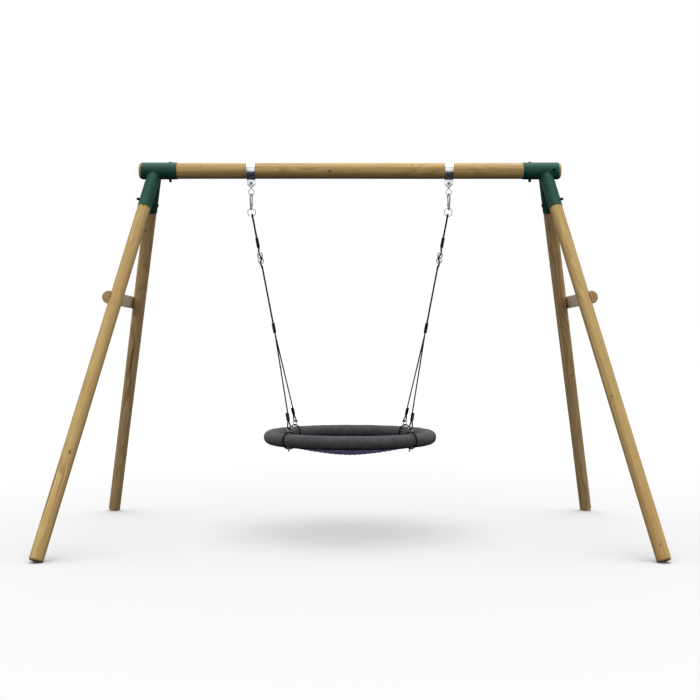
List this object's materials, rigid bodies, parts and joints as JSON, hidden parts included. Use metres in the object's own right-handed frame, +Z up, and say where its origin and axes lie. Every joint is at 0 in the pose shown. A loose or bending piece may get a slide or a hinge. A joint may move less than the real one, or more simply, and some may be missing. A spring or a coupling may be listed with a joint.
{
  "type": "nest swing set",
  "caption": "Round-timber A-frame garden swing with a round padded nest seat hung from two black rope sets.",
  "frame": {"origin": "on the ground at the middle of the footprint, under the middle of the crossbeam", "axes": "+X along the crossbeam, +Y to the rear, +Z up"},
  "size_m": [3.1876, 1.8492, 2.1466],
  "materials": {
    "pine": "planed round pine, oiled",
    "green_steel": "dark green powder coat",
    "zinc": "bright zinc plated",
    "tube_steel": "galvanised",
    "black_cap": "black, satin",
    "black_rope": "braided black rope",
    "black_sleeve": "shrunk black sleeve",
    "foam": "closed-cell foam",
    "grey_fabric": "charcoal woven cover",
    "violet_rope": "dark violet braided net"
  },
  "bodies": {
    "frame": {"crossbeam": "pine", "leg_front_left": "pine", "leg_rear_left": "pine", "side_rail_left": "pine", "corner_bracket_left": "green_steel", "beam_bolt_upright_left": "black_cap", "beam_bolt_level_left": "black_cap", "leg_bolt_front_left": "black_cap", "leg_bolt_rear_left": "black_cap", "hanger_strap_left": "zinc", "hanger_bolt_left": "zinc", "leg_front_right": "pine", "leg_rear_right": "pine", "side_rail_right": "pine", "corner_bracket_right": "green_steel", "beam_bolt_upright_right": "black_cap", "beam_bolt_level_right": "black_cap", "leg_bolt_front_right": "black_cap", "leg_bolt_rear_right": "black_cap", "hanger_strap_right": "zinc", "hanger_bolt_right": "zinc"},
    "left_link": {"hanger_link_left": "zinc"},
    "left_carabiner": {"carabiner_left": "zinc", "gate_pin_left": "zinc"},
    "left_gate": {"carabiner_gate_left": "zinc"},
    "left_rope_set": {"top_ring_left": "zinc", "main_rope_left": "black_rope", "top_ferrule_left": "black_sleeve", "rope_adjuster_left": "zinc", "split_ferrule_left": "black_sleeve", "lower_rope_front_left": "black_rope", "lower_ferrule_front_left": "black_sleeve", "lower_rope_rear_left": "black_rope", "lower_ferrule_rear_left": "black_sleeve"},
    "right_link": {"hanger_link_right": "zinc"},
    "right_carabiner": {"carabiner_right": "zinc", "gate_pin_right": "zinc"},
    "right_gate": {"carabiner_gate_right": "zinc"},
    "right_rope_set": {"top_ring_right": "zinc", "main_rope_right": "black_rope", "top_ferrule_right": "black_sleeve", "rope_adjuster_right": "zinc", "split_ferrule_right": "black_sleeve", "lower_rope_front_right": "black_rope", "lower_ferrule_front_right": "black_sleeve", "lower_rope_rear_right": "black_rope", "lower_ferrule_rear_right": "black_sleeve"},
    "nest": {"nest_tube": "tube_steel", "nest_foam": "foam", "nest_cover": "grey_fabric", "nest_net": "violet_rope", "ring_lashing_front_left": "black_rope", "shackle_front_left": "zinc", "ring_lashing_rear_left": "black_rope", "shackle_rear_left": "zinc", "ring_lashing_front_right": "black_rope", "shackle_front_right": "zinc", "ring_lashing_rear_right": "black_rope", "shackle_rear_right": "zinc"}
  },
  "joints": [
    {"name": "left_link_rock", "type": "hinge", "parent": "frame", "child": "left_link", "pos_m": [-0.572, 0, 2.022], "axis": [0, 1, 0], "range_deg": [-2, 2]},
    {"name": "right_link_rock", "type": "hinge", "parent": "frame", "child": "right_link", "pos_m": [0.572, 0, 2.022], "axis": [0, 1, 0], "range_deg": [-2, 2]},
    {"name": "left_swing", "type": "hinge", "parent": "frame", "child": "left_carabiner", "pos_m": [-0.572, 0, 1.95435], "axis": [1, 0, 0], "range_deg": [-50, 50]},
    {"name": "right_swing", "type": "hinge", "parent": "frame", "child": "right_carabiner", "pos_m": [0.572, 0, 1.95435], "axis": [1, 0, 0], "range_deg": [-50, 50]},
    {"name": "left_gate_open", "type": "hinge", "parent": "left_carabiner", "child": "left_gate", "pos_m": [-0.56919, 0.0105, 1.89214], "axis": [0.9659, -0.2588, 0], "range_deg": [0, 22], "stiffness_Nm_per_rad": 0.05, "springref_deg": -17.19},
    {"name": "right_gate_open", "type": "hinge", "parent": "right_carabiner", "child": "right_gate", "pos_m": [0.56919, 0.0105, 1.89214], "axis": [0.9659, 0.2588, 0], "range_deg": [0, 22], "stiffness_Nm_per_rad": 0.05, "springref_deg": -17.19},
    {"name": "left_sway", "type": "hinge", "parent": "left_carabiner", "child": "left_rope_set", "pos_m": [-0.572, 0, 1.8707], "axis": [0, 1, 0], "range_deg": [-3, 3]},
    {"name": "right_sway", "type": "hinge", "parent": "right_carabiner", "child": "right_rope_set", "pos_m": [0.572, 0, 1.8707], "axis": [0, 1, 0], "range_deg": [-3, 3]},
    {"name": "nest_tilt", "type": "hinge", "parent": "left_rope_set", "child": "nest", "pos_m": [-0.3335, 0, 0.63], "axis": [0, 1, 0], "range_deg": [-5.2, 5.2]}
  ],
  "couplings": [
    {"joint": "right_swing", "follows": "left_swing", "ratio": 1},
    {"joint": "right_sway", "follows": "left_sway", "ratio": 1},
    {"joint": "nest_tilt", "follows": "left_sway", "ratio": -1.7151}
  ]
}
